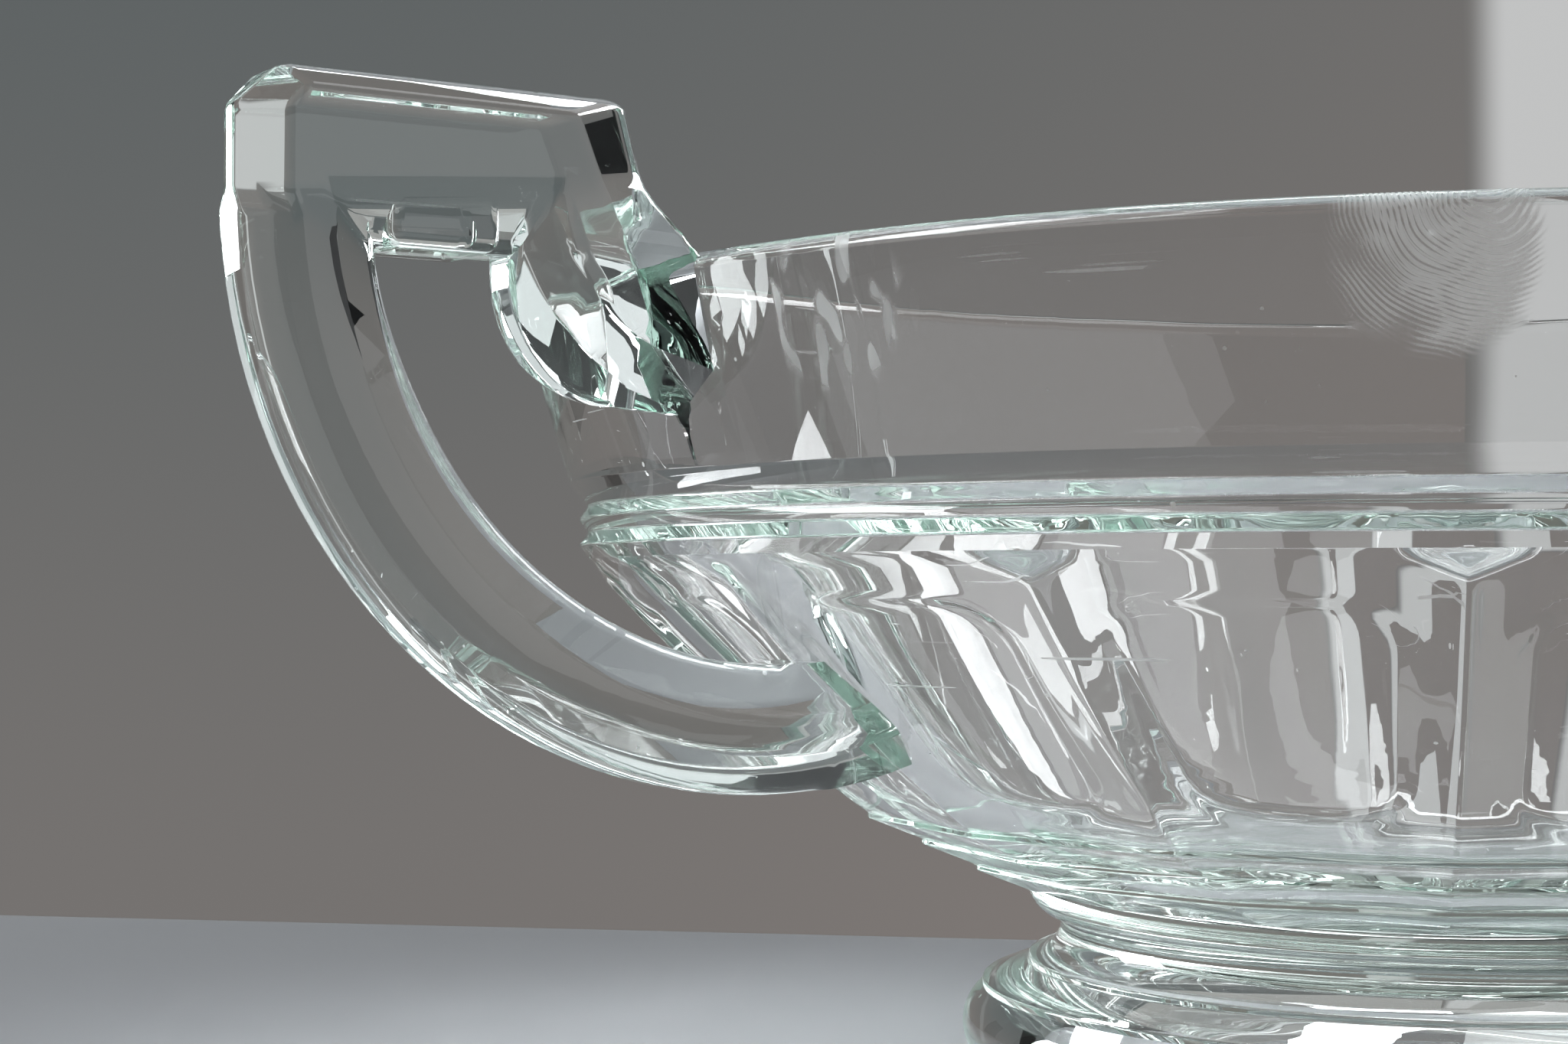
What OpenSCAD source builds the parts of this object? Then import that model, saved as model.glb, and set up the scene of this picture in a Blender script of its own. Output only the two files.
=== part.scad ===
// Two-handled fruit bowl of clear pressed glass on a round foot, in millimetres.
// The origin is the centre of the foot's rest face. The handles lie along X, and Z is up.

/* [Band and rim] */
// Outside diameter at the rim
rim_d = 250; // [230:1:270]
// Height of the rim above the table
rim_h = 103; // [98:0.5:110]
// Thickness of the glass at the rim, which is rounded over
rim_wall = 4; // [3:0.25:5]
// Height of the plain flaring band under the rim
band_h = 23.4; // [20:0.2:26]
// How far the band leans in from the rim to its lower corner
band_flare = 6.4; // [4:0.2:8]

/* [Bead rings] */
// Number of bead rings under the band
bead_n = 2; // [1:1:3]
// Height from one bead to the next
bead_pitch = 3.5; // [2.8:0.1:4]
// How far the beads stand out of their grooves
bead_proud = 1.3; // [0.8:0.1:1.6]
// How far the grooves lie inside the band's lower corner
groove_in = 2.5; // [2:0.1:3]
// Height from the band's lower corner to the first groove
groove_drop = 2.9; // [2:0.1:4]
// Thickness of the glass behind the grooves
bead_wall = 5; // [4:0.25:6]

/* [Panelled wall] */
// Number of flat panels around the wall
panel_n = 16; // [12:4:24]
// Radius of the panels' slightly bellied profile
panel_belly = 220; // [160:10:320]
// How far the panels cut into the round shoulder above them, which gives them arched corners
arch_in = 0.9; // [0.4:0.1:1.4]
// How far the round shoulder leans in for each millimetre of height
shoulder_lean = 0.5; // [0.4:0.05:0.6]
// Thickness of the panelled wall
wall = 6.5; // [5:0.25:8]

/* [Terraced underside] */
// Number of terraces under the panels
terrace_n = 3; // [2:1:3]
// Width of each terrace
terrace_w = 7.3; // [6:0.1:8]
// Fall of each terrace across its width
terrace_fall = 2.9; // [2:0.1:3.4]
// Height of the small step above each terrace
terrace_step = 0.7; // [0.3:0.1:1]
// Radius of the round collar under the terraces
collar_r = 55.6; // [54:0.1:58]
// Width of the small ledge between the collar and the terraces
collar_ledge = 0.6; // [0.3:0.1:1]

/* [Floor] */
// Thickness of the floor over the joint with the foot
floor_t = 12; // [9:0.25:14]
// Rise of the floor from its centre to the foot of the wall
floor_rise = 1.5; // [0.5:0.25:3]
// Radius of the hollow where the floor turns into the wall
floor_round = 45; // [30:1:60]
// Radius of the bend where the wall turns up into the band, on the inside
knee_round = 25; // [15:1:35]

/* [Foot] */
// Height of the joint between the foot and the bowl
neck_h = 20.5; // [19:0.25:22]
// Diameter of the neck at that joint
neck_d = 101.8; // [98:0.2:104]
// Height of the ledge below the waist
ledge_h = 15; // [14:0.25:16]
// Diameter of the ledge
ledge_d = 111; // [108:0.5:114]
// Height of the small steps above and below the foot's sloping shoulder
ledge_step = 0.9; // [0.5:0.1:1.2]
// Outside diameter of the rounded base ring
base_d = 129.4; // [125:0.2:134]
// Radius of the base ring's rounding
base_round = 6; // [5.5:0.1:6.5]
// Angle up the base ring at which the sloping shoulder starts
base_turn = 58; // [50:1:65]
// Width of the flat rest face under the base ring
rest_w = 4; // [3:0.25:5]
// Depth of the hollow under the foot
hollow_h = 12; // [9:0.25:13]
// Diameter of the hollow at its ceiling
hollow_d = 72; // [60:1:80]

/* [Handles] */
// How far a handle stands out beyond the rim
handle_reach = 50; // [46:0.5:54]
// Height of the handle's top above the rim
handle_rise = 17; // [15:0.5:19]
// Thickness of the top bar, across its flat sides
bar_t = 13; // [11:0.2:15]
// Thickness of the curved arm, a little less
arm_t = 12.6; // [11:0.2:14]
// Thickness of the post on the band
post_t = 13.4; // [12:0.2:16]
// Thickness of the rounded root, where the glass spreads on to the band
root_t = 13.8; // [12:0.2:16]
// Height of the top bar
bar_h = 18.4; // [17:0.2:20]
// Width of the curved arm in the plane of the handle
arm_w = 15; // [13:0.25:17]
// Outside radius of the curved arm
arm_round = 65; // [62:0.5:68]
// Height of the arm's centre above the rim
arm_rise = 4; // [3:0.25:5]
// Width of the bevels, seen on the flat sides
bevel_w = 4.6; // [3:0.1:5.5]
// Depth of the bevels into the handle's thickness
bevel_t = 3.2; // [2:0.1:4]
// Size of the facet across the knuckle
knuckle = 4.5; // [3:0.1:6]
// Width of the post that stands on the band
post_w = 18; // [15:0.25:20]
// Radius of the rounded root under the post
root_round = 13.8; // [12:0.1:15]
// Distance of the root's centre outside the rim
root_out = 5; // [4:0.1:6]
// Distance of the root's centre below the rim
root_drop = 3.2; // [2:0.1:4]
// How far the post laps over the rim's edge
root_lap = 1.4; // [0.8:0.1:2]

/* [Hidden] */
$fn = 128;
glass = [0.86, 0.93, 0.91, 0.55];
// Steps in a rounded stretch of an outline
arc_n = 10;
// Turn that puts the start of the round form between a ridge and the middle of a panel
seam_turn = 90 / panel_n;
// How far round the curved arm is drawn, before it is cut to the bowl
arm_sweep = 125;

rim_r = rim_d / 2;
lip_r = rim_wall / 2;
lip = [rim_r - lip_r, rim_h - lip_r];
band_r = rim_r - band_flare;
band_z = rim_h - band_h;
band_lean = atan(band_flare / band_h);
groove_r = band_r - groove_in;
groove_z = band_z - groove_drop;
shoulder_z = groove_z - bead_n * bead_pitch;
collar_w = collar_r - neck_d / 2;
collar_z = neck_h + collar_w;
panel_top = [groove_r - arch_in, shoulder_z];
panel_foot_r = collar_r + collar_ledge + terrace_n * terrace_w;
panel_foot_z = collar_z + terrace_n * (terrace_fall + terrace_step);
panel_foot = [panel_foot_r, panel_foot_z];
handle_end = rim_r + handle_reach;
handle_top = rim_h + handle_rise;
bar_z = handle_top - bar_h / 2;
arm_z = rim_h + arm_rise;
stub_x = handle_end - arm_w / 2;

// Points of an arc about a centre
function arc(mid, r, from, to) =
    [for (i = [0 : arc_n]) let (a = from + (to - from) * i / arc_n) mid + r * [cos(a), sin(a)]];

// Points of an arc of radius r from one point to another, with its belly on the right of the way
function belly(from, to, r) =
    let (
        way = to - from,
        half = norm(way) / 2,
        left = [-way[1], way[0]] / norm(way),
        mid = (from + to) / 2 + left * sqrt(r * r - half * half),
        start = atan2(from[1] - mid[1], from[0] - mid[0])
    )
    arc(mid, r, start, start + 2 * asin(half / r));

// Points that round the corner at a point between two straight stretches
function corner(before, at, after, r) =
    let (
        u = (before - at) / norm(before - at),
        v = (after - at) / norm(after - at),
        half = acos(u * v) / 2,
        mid = at + (u + v) / norm(u + v) * r / sin(half),
        first = at + u * r / tan(half) - mid,
        last = at + v * r / tan(half) - mid,
        from = atan2(first[1], first[0]),
        swing = atan2(last[1], last[0]) - from
    )
    arc(mid, r, from, from + swing - 360 * round(swing / 360));

// Outline of the bead rings, from the shoulder up to the first groove
function beads() =
    [for (i = [2 * bead_n : -1 : 0]) [groove_r + (i % 2) * bead_proud, groove_z - i * bead_pitch / 2]];

// Outline of the terraces, from the collar out to the foot of the panels
function terraces() = [
    for (i = [terrace_n : -1 : 1], out = [0, 1])
        panel_foot - [(i - out) * terrace_w, i * terrace_step + (i - out) * terrace_fall]
];

// Outline of the outside, from the joint with the foot up to the top of the rim
function outside() = concat(
    arc([neck_d / 2, collar_z], collar_w, -90, 0),
    [[groove_r - shoulder_lean * (shoulder_z - collar_z), collar_z]],
    beads(),
    [[band_r, band_z]],
    arc(lip, lip_r, 0, 90)
);

// Outline of the smooth inside, from the middle of the floor up to the rim
function inside() =
    let (
        slope = (panel_top - panel_foot) / norm(panel_top - panel_foot),
        wall_at = panel_foot + wall * [-slope[1], slope[0]],
        middle = [0, neck_h + floor_t],
        floor_edge = wall_at + slope * (middle[1] + floor_rise - wall_at[1]) / slope[1],
        knee = wall_at + slope * (groove_r - bead_wall - wall_at[0]) / slope[0],
        mouth = [rim_r - rim_wall, lip[1]]
    )
    concat(
        [middle],
        corner(middle, floor_edge, knee, floor_round),
        corner(floor_edge, knee, mouth, knee_round),
        [for (i = [0 : arc_n - 1]) lip + lip_r * [cos(180 - 90 * i / arc_n), sin(180 - 90 * i / arc_n)]]
    );

// Round form between an outline and the axis, with the panels and terraces cut into its outside
module panelled(outline) {
    difference() {
        rotate(seam_turn)
            rotate_extrude() polygon(outline);
        for (i = [0 : panel_n - 1])
            rotate((i + 0.5) * 360 / panel_n) panel_cut();
    }
}

// What lies outside one flat panel and the terraces under it
module panel_cut() {
    rotate([90, 0, 0])
        linear_extrude(rim_d, center = true)
            polygon(concat(
                terraces(),
                belly(panel_foot, panel_top, panel_belly),
                [[rim_d, shoulder_z], [rim_d, collar_z]]
            ));
}

module bowl() {
    inner = inside();
    color(glass)
        panelled(concat(
            [[0, neck_h]],
            outside(),
            [for (i = [len(inner) - 1 : -1 : 0]) inner[i]]
        ));
}

// Waisted foot with a rounded base ring, hollow underneath
module foot() {
    waist = ledge_d / 2 - neck_d / 2;
    rest_turn = acos(rest_w / 2 / base_round);
    ring = [base_d / 2 - base_round, base_round * sin(rest_turn)];
    brow = ring + base_round * [cos(base_turn), sin(base_turn)];
    color(glass)
        rotate_extrude()
            polygon(concat(
                [[0, hollow_h], [hollow_d / 2, hollow_h]],
                arc(ring, base_round, 180, 180 + rest_turn),
                arc(ring, base_round, -rest_turn, base_turn),
                [brow + [0, ledge_step], [ledge_d / 2, ledge_h - ledge_step]],
                arc([ledge_d / 2, ledge_h + waist], waist, -90, -180),
                [[neck_d / 2, neck_h], [0, neck_h]]
            ));
}

// Half of a bevelled section of thickness t, to one side of its middle and out to the given distance
function half_section(out, t) = [
    [out - bevel_w, -t / 2],
    [out, bevel_t - t / 2],
    [out, t / 2 - bevel_t],
    [out - bevel_w, t / 2]
];

// Bevelled section of width w and thickness t
module section(w, t) {
    polygon(concat(half_section(w / 2, t), -half_section(w / 2, t)));
}

// Top bar, from the given distance to the axis and out to another
module top_bar(from, to) {
    translate([from, 0, bar_z])
        rotate([0, 90, 0])
            linear_extrude(to - from) section(bar_h, bar_t);
}

// Upright end of the arm, between two heights
module stub(from, to) {
    translate([stub_x, 0, from])
        linear_extrude(to - from) section(arm_w, arm_t);
}

// Post on the band, leaning with it, from the root's height up to a height above the rim
module post(top) {
    translate([rim_r - root_lap, 0, rim_h])
        rotate([0, band_lean, 0])
            translate([post_w / 2, 0, -root_drop])
                linear_extrude(top + root_drop) section(post_w, post_t);
}

// Curved arm, from the stub down and in to the lower wall
module arm() {
    middle = arm_round - arm_w / 2;
    translate([handle_end - arm_round, 0, arm_z])
        rotate([90, 0, 0])
            rotate(-arm_sweep)
                rotate_extrude(angle = arm_sweep)
                    translate([middle, 0]) section(arm_w, arm_t);
}

// Rounded root under the post
module root() {
    translate([rim_r + root_out, 0, rim_h - root_drop])
        rotate([90, 0, 0])
            rotate_extrude()
                polygon(concat([[0, -root_t / 2]], half_section(root_round, root_t), [[0, root_t / 2]]));
}

// Handle on the +X side, before it is cut to the bowl
module handle_form() {
    post_x = rim_r + root_out;
    difference() {
        union() {
            arm();
            stub(arm_z, bar_z);
            top_bar(post_x, stub_x);
            intersection() {
                top_bar(post_x, handle_end);
                stub(rim_h, handle_top);
            }
            intersection() {
                top_bar(rim_r - post_w, post_x + post_w);
                post(handle_top);
            }
            post(handle_rise - bar_h / 2);
            root();
        }
        translate([handle_end - knuckle, 0, handle_top])
            rotate([0, 45, 0])
                translate([0, -bar_t, 0]) cube(2 * bar_t);
    }
}

module handle() {
    color(glass)
        difference() {
            handle_form();
            panelled(concat([[0, neck_h]], outside(), [[0, rim_h]]));
        }
}

module handle_right() {
    handle();
}

module handle_left() {
    mirror([1, 0, 0]) handle();
}

bowl();
foot();
handle_left();
handle_right();
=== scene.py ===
"""Two-handled fruit bowl of clear pressed glass, modelled over its frame and lit for its picture."""
import math

import bmesh
import bpy
from mathutils import Matrix, Vector


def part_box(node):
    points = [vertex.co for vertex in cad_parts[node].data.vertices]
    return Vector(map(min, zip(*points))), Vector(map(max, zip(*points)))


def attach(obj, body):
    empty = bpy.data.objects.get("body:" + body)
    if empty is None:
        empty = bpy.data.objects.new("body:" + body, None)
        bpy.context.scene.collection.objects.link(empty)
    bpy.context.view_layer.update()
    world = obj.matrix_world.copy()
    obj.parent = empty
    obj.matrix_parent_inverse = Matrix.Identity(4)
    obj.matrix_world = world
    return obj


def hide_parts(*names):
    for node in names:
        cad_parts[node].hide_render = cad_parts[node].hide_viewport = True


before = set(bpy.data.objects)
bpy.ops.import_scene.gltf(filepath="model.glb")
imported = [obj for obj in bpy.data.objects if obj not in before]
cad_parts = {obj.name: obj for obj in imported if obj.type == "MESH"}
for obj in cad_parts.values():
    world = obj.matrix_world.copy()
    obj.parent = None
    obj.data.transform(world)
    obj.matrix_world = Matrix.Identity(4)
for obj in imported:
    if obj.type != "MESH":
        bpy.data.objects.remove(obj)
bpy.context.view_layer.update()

# Outlines are drawn in millimetres and scaled to metres as they are drawn.
MM = 0.001

# Reach of each piece, from the frame.
RIM_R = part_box("bowl")[1].x / MM
RIM_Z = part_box("bowl")[1].z / MM
NECK_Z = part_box("foot")[1].z / MM
BASE_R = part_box("foot")[1].x / MM
HANDLE_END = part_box("handle_right")[1].x / MM
HANDLE_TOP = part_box("handle_right")[1].z / MM

# Gaps that are closed where sheets are joined, in metres.
SEAM_GAP = 2e-6
PRINT_GAP = 8e-6
SLIVER = 2e-4

# Band, rim and bead rings.
LIP_R = 2.0
BAND_IN = 6.4
BAND_H = 23.4
BAND_CORNER = (RIM_R - BAND_IN, RIM_Z - BAND_H)
BAND_LEAN = BAND_IN / BAND_H
BAND_SOFT = 0.6
GROOVE_R = BAND_CORNER[0] - 2.5
GROOVE_Z = BAND_CORNER[1] - 2.9
BEAD_N = 2
BEAD_PITCH = 3.5
BEAD_PROUD = 1.3
BEAD_SOFT = 0.35
BEAD_WALL = 5.0
SHOULDER_Z = GROOVE_Z - BEAD_N * BEAD_PITCH
SHOULDER_LEAN = 0.5

# Panelled wall, terraces and collar.
PANEL_N = 16
PANEL_TURN = 2 * math.pi / PANEL_N
PANEL_BELLY = 220.0
PANEL_ROWS = 56
PANEL_CROWDING = 1.35
ARCH_IN = 0.9
WALL = 6.5
NECK_R = 50.9
COLLAR_R = 55.6
COLLAR_Z = NECK_Z + COLLAR_R - NECK_R
COLLAR_LEDGE = 0.6
TERRACE_N = 3
TERRACE_W = 7.3
TERRACE_FALL = 2.9
TERRACE_STEP = 0.7
TERRACE_INNER_SOFT = 0.25
TERRACE_OUTER_SOFT = 0.3
PANEL_TOP = (GROOVE_R - ARCH_IN, SHOULDER_Z)
PANEL_FOOT = (
    COLLAR_R + COLLAR_LEDGE + TERRACE_N * TERRACE_W,
    COLLAR_Z + TERRACE_N * (TERRACE_FALL + TERRACE_STEP),
)
RIDGE_ROUND = 0.5
ARCH_SOFT = 0.5
EDGE_SLACK = 0.01
ROUND_SLACK = 0.05
HALF_PANEL_COLUMNS = 14
COLUMNS = PANEL_N * 2 * HALF_PANEL_COLUMNS
GATHERED_SHARE = 0.6
GATHERING = 1.4

# Round-cornered field pressed into each panel, and its rise for each millimetre along the panel.
FIELD_MARGIN = 5.6
FIELD_CORNER = 8.0
FIELD_SINK = 0.3
FIELD_EDGE = 1.3
FIELD_TOP = SHOULDER_Z - 5.4
FIELD_FOOT = PANEL_FOOT[1] + 3.4
FIELD_RISE = 0.67

# Floor and inside.
FLOOR_T = 12.0
FLOOR_RISE = 1.5
FLOOR_ROUND = 45.0
KNEE_ROUND = 25.0

# Foot.
LEDGE_R = 55.5
LEDGE_Z = 15.0
LEDGE_STEP = 0.9
LEDGE_SOFT = 0.3
BROW_SOFT = 0.4
BASE_ROUND = 6.0
BASE_BROW = math.radians(58)
REST_W = 4.0
HOLLOW_H = 12.0
HOLLOW_R = 36.0
HOLLOW_ROUND = 6.0
FOOT_COLUMNS = 288

# Bar, knuckle and arm of the handles. The arm's angles are in degrees.
BAR_H = 18.4
ARM_W = 15.0
ARM_R = 65.0
ARM_MID = (HANDLE_END - ARM_R, RIM_Z + 4)
ARM_FIRST = -2.5
ARM_LAST = -126.0
ARM_STEPS = 40
WIDE_STEPS = 8
CORE_HALF = 3.3
INNER_HALF = 4.9
SIDE_HALF = 6.5
SIDE_FIRST = -3.5
SIDE_LAST = ARM_LAST + 3
SIDE_TOP = 0.7
KNUCKLE = 4.5
KNUCKLE_HALF = 1.3
KNUCKLE_IN = 1.9
KNUCKLE_DROP = 0.4
ARM_DROP = 1.2
TOP_BEVEL = 2.8
END_BEVEL = 4.2
OUTER_BEVEL = 5.2
INNER_BEVEL = 6.3
EDGE_ROUND = 1.5
FIRST_INSET = 0.05

# Block along the bar's lower edge.
BLOCK_LONG = 13.2
BLOCK_HALF = 5.9
BLOCK_DROP = 0.15
BLOCK_GAP = 0.5
BLOCK_ROUND = 1.7

# Root of the handles on the band, and the post above it.
ROOT_R = 13.8
ROOT_MID = (RIM_R + 5, RIM_Z - 3.2)
ROOT_LAST = -92
ROOT_STEPS = 20
ROOT_THIN_STEPS = 13
ROOT_TAIL_STEPS = 3
ROOT_LAP = 1.4
ROOT_FLARE = 10.2
ROOT_CORNER = (8.6, RIM_Z - 13.6)
ROOT_TIP_Z = RIM_Z - 17.8
ROOT_TIP_HALF = 0.6
LEAF_PEAK = (RIM_R + 14.5, RIM_Z + 6.8)
LEAF_PULL = (RIM_R + 11.5, RIM_Z - 7.1)
ROOT_EYE = (RIM_R + 3.1, RIM_Z - 10.6)
POST_STEPS = 16
POST_OUT = 1.5
POST_LEAN = 0.15
POST_SPREAD = 0.27
SPREAD_DOWN = 1
FLARE_UP = 9
FLARE_LONG = 11
JOG_DOWN = 4
JOG_LONG = 5
JOG_OUT = 2
DRIP_RISE = 1.5
DRIP_STOP = 0.8
DRIP_SINK = 0.8

# Shares of the full rounding on the handles' creases, which have none inside the bowl's glass.
HIDDEN_X = PANEL_FOOT[0] * 1.06
LAP_SLACK = 0.1
LEAST_CREASE = math.radians(12)
HOLLOW_SHARE = 0.4
SIDE_SHARE = 0.5
THIN_HALF = 1
THIN_RUN = 1.4
EYE_CLEAR = 2
EYE_RUN = 8

# Block that cuts the arm off inside the wall.
TRIM_BLOCK = (60, 30, 30)
TRIM_DEPTH = 0.6 * WALL

# Width of the slit between two joined faces, which keeps them apart for the light.
JOINT_SLIT = 0.01

# Least angle of an edge that stays sharp.
SHARP_EDGE = math.radians(38)


# Drawing and shaping


def put_down():
    """Leaves every object deselected, in object mode."""
    if bpy.context.object and bpy.context.object.mode != "OBJECT":
        bpy.ops.object.mode_set(mode="OBJECT")
    bpy.ops.object.select_all(action="DESELECT")


def take_up(piece):
    """Makes one piece the only selected and active object."""
    put_down()
    piece.select_set(True)
    bpy.context.view_layer.objects.active = piece


def edit(piece, mode="VERT"):
    """Opens one piece in edit mode with nothing selected in it."""
    take_up(piece)
    bpy.ops.object.mode_set(mode="EDIT")
    bpy.ops.mesh.select_mode(type=mode)
    bpy.ops.mesh.select_all(action="DESELECT")


def select_where(piece, kind, test):
    """Selects the faces, edges or vertices of an open piece that pass a test."""
    shape = bmesh.from_edit_mesh(piece.data)
    for element in getattr(shape, kind):
        element.select_set(bool(test(element)))
    shape.select_flush_mode()
    bmesh.update_edit_mesh(piece.data)


def arc(mid, radius, start, end, steps):
    """Points of an arc about a centre, with its angles in degrees."""
    turns = [math.radians(start + (end - start) * i / steps) for i in range(steps + 1)]
    return [(mid[0] + radius * math.cos(t), mid[1] + radius * math.sin(t)) for t in turns]


def belly(start, end, radius, steps, crowding=1.0):
    """Points of a shallow arc between two points, bellied to the right of the way, closer near its end."""
    start, end = Vector(start), Vector(end)
    way = end - start
    aside = Vector((-way.y, way.x)).normalized()
    mid = (start + end) / 2 + aside * math.sqrt(radius ** 2 - way.length_squared / 4)
    first = math.degrees(math.atan2(start.y - mid.y, start.x - mid.x))
    swing = 2 * math.degrees(math.asin(way.length / 2 / radius))
    shares = [1 - (1 - i / steps) ** crowding for i in range(steps + 1)]
    return [arc(mid, radius, first, first + swing * share, 1)[1] for share in shares]


def softened(corners, steps=3):
    """Outline through (r, z, round) corners, with each corner turned by an arc of its own radius."""
    points = []
    for before, at, after in zip([corners[0]] + corners, corners, corners[1:] + [corners[-1]]):
        corner, radius = Vector(at[:2]), at[2]
        back, ahead = Vector(before[:2]) - corner, Vector(after[:2]) - corner
        if radius == 0 or back.length == 0 or ahead.length == 0:
            points.append(tuple(corner))
            continue
        back.normalize()
        ahead.normalize()
        half = back.angle(ahead) / 2
        reach = radius / math.tan(half)
        mid = corner + (back + ahead).normalized() * radius / math.sin(half)
        first, last = corner + back * reach - mid, corner + ahead * reach - mid
        swing = first.angle_signed(last)
        for i in range(steps + 1):
            turned = Matrix.Rotation(-swing * i / steps, 2) @ first
            points.append(tuple(mid + turned))
    return points


def draw_outline(name, points):
    """Draws a line through (r, z) points, from one vertex that is extruded from corner to corner."""
    put_down()
    at = Vector((points[0][0], 0, points[0][1])) * MM
    bpy.ops.mesh.primitive_plane_add(size=MM, location=at)
    piece = bpy.context.object
    piece.name = piece.data.name = name
    bpy.ops.object.transform_apply(location=True)
    bpy.ops.object.mode_set(mode="EDIT")
    bpy.ops.mesh.select_mode(type="VERT")
    bpy.ops.mesh.merge(type="CENTER")
    for point in points[1:]:
        to = Vector((point[0], 0, point[1])) * MM
        bpy.ops.mesh.extrude_region_move(TRANSFORM_OT_translate={"value": to - at})
        at = to
    bpy.ops.object.mode_set(mode="OBJECT")
    return piece


def spin_round(piece, columns):
    """Spins an outline once about the bowl's axis and closes its seam and poles."""
    edit(piece)
    bpy.ops.mesh.select_all(action="SELECT")
    bpy.ops.mesh.spin(steps=columns, angle=2 * math.pi, center=(0, 0, 0), axis=(0, 0, 1))
    close_up(piece)


def close_up(piece, gap=SEAM_GAP):
    """Merges doubled vertices and turns every face outwards."""
    edit(piece)
    bpy.ops.mesh.select_all(action="SELECT")
    bpy.ops.mesh.remove_doubles(threshold=gap)
    bpy.ops.mesh.normals_make_consistent(inside=False)
    bpy.ops.object.mode_set(mode="OBJECT")


def join(keeper, *others):
    """Joins other meshes into one."""
    take_up(keeper)
    for other in others:
        other.select_set(True)
    bpy.ops.object.join()


def copy_of(piece, name):
    """A copy of a piece with its own mesh."""
    take_up(piece)
    bpy.ops.object.duplicate()
    copy = bpy.context.object
    copy.name = copy.data.name = name
    return copy


def combine(piece, tool, operation, solver="EXACT"):
    """Applies a boolean with another piece."""
    take_up(piece)
    bpy.ops.object.modifier_add(type="BOOLEAN")
    modifier = piece.modifiers[-1]
    modifier.operation, modifier.object, modifier.solver = operation, tool, solver
    bpy.ops.object.modifier_apply(modifier=modifier.name)


# Bowl


def ease(share):
    """Share of a way that starts and ends slowly."""
    share = min(max(share, 0), 1)
    return share * share * (3 - 2 * share)


def soft_least(a, b, soft):
    """The lesser of two lengths, with the crease between them softened."""
    overlap = max(soft - abs(a - b), 0) / soft
    return min(a, b) - overlap * overlap * soft / 4


def column_gap(share, half_width):
    """Distance of a column from its ridge, with columns gathered at the ridge and at the field's edge."""
    gathered = min(FIELD_MARGIN + 1, GATHERED_SHARE * half_width)
    if share < 0.5:
        return gathered * ease(2 * share)
    return gathered + (half_width - gathered) * (2 * share - 1) ** GATHERING


def respaced(turn, radius):
    """Angle of a column after it is moved towards its ridge, and its distance from the ridge."""
    ridge = round(turn / PANEL_TURN)
    offset = turn / PANEL_TURN - ridge
    gap = column_gap(2 * abs(offset), radius * PANEL_TURN / 2)
    return ridge * PANEL_TURN + math.copysign(gap / radius, offset), gap


def field_depth(gap, z):
    """How far a point of a panel is pressed in, as a share: 1 well inside its round-cornered field."""
    side = gap - FIELD_MARGIN
    end = min(FIELD_TOP - z, z - FIELD_FOOT) / FIELD_RISE
    if side < FIELD_CORNER and end < FIELD_CORNER:
        inside = FIELD_CORNER - math.hypot(FIELD_CORNER - side, FIELD_CORNER - end)
    else:
        inside = min(side, end)
    return ease((inside + FIELD_EDGE) / (2 * FIELD_EDGE))


def press_panels(piece):
    """Presses the flat panels and terraces into the round outside."""
    for vertex in piece.data.vertices:
        radius = math.hypot(vertex.co.x, vertex.co.y) / MM
        turn = math.atan2(vertex.co.y, vertex.co.x)
        z = vertex.co.z / MM
        if radius < 1:
            continue
        in_height = COLLAR_Z - EDGE_SLACK < z < SHOULDER_Z + EDGE_SLACK
        panelled = in_height and COLLAR_R + ROUND_SLACK < radius < GROOVE_R - ROUND_SLACK
        turn, gap = respaced(turn, radius if panelled else GROOVE_R)
        if panelled:
            from_ridge = math.hypot(gap, RIDGE_ROUND)
            flat = radius / math.cos(PANEL_TURN / 2 - min(from_ridge / radius, PANEL_TURN / 2))
            shoulder = GROOVE_R - SHOULDER_LEAN * (SHOULDER_Z - z)
            radius = soft_least(flat, shoulder, ARCH_SOFT) - FIELD_SINK * field_depth(gap, z)
        vertex.co.x = radius * math.cos(turn) * MM
        vertex.co.y = radius * math.sin(turn) * MM


def bowl_outside():
    """Outline of the outside, from the middle of the joint with the foot up to the top of the rim."""
    collar = arc((NECK_R, COLLAR_Z), COLLAR_R - NECK_R, -90, 0, 8)
    steps = [(COLLAR_R, COLLAR_Z, 0)]
    for i in range(TERRACE_N, 0, -1):
        low = PANEL_FOOT[1] - i * (TERRACE_STEP + TERRACE_FALL)
        steps.append((PANEL_FOOT[0] - i * TERRACE_W, low, TERRACE_INNER_SOFT))
        steps.append((PANEL_FOOT[0] - (i - 1) * TERRACE_W, low + TERRACE_FALL, TERRACE_OUTER_SOFT))
    steps += [(*PANEL_FOOT, TERRACE_INNER_SOFT), (*PANEL_TOP, 0)]
    terraces = softened(steps)[1:-1]
    panel = belly(terraces[-1], PANEL_TOP, PANEL_BELLY, PANEL_ROWS, PANEL_CROWDING)[1:]
    beads = [(GROOVE_R, SHOULDER_Z, 0)]
    for i in range(2 * BEAD_N - 1, -1, -1):
        beads.append((GROOVE_R + (i % 2) * BEAD_PROUD, GROOVE_Z - i * BEAD_PITCH / 2, BEAD_SOFT))
    band = [(*BAND_CORNER, BAND_SOFT), (RIM_R, RIM_Z - LIP_R, 0)]
    lip = arc((RIM_R - LIP_R, RIM_Z - LIP_R), LIP_R, 0, 90, 8)
    return [(0, NECK_Z)] + collar + terraces + panel + softened(beads + band)[:-1] + lip


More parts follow.
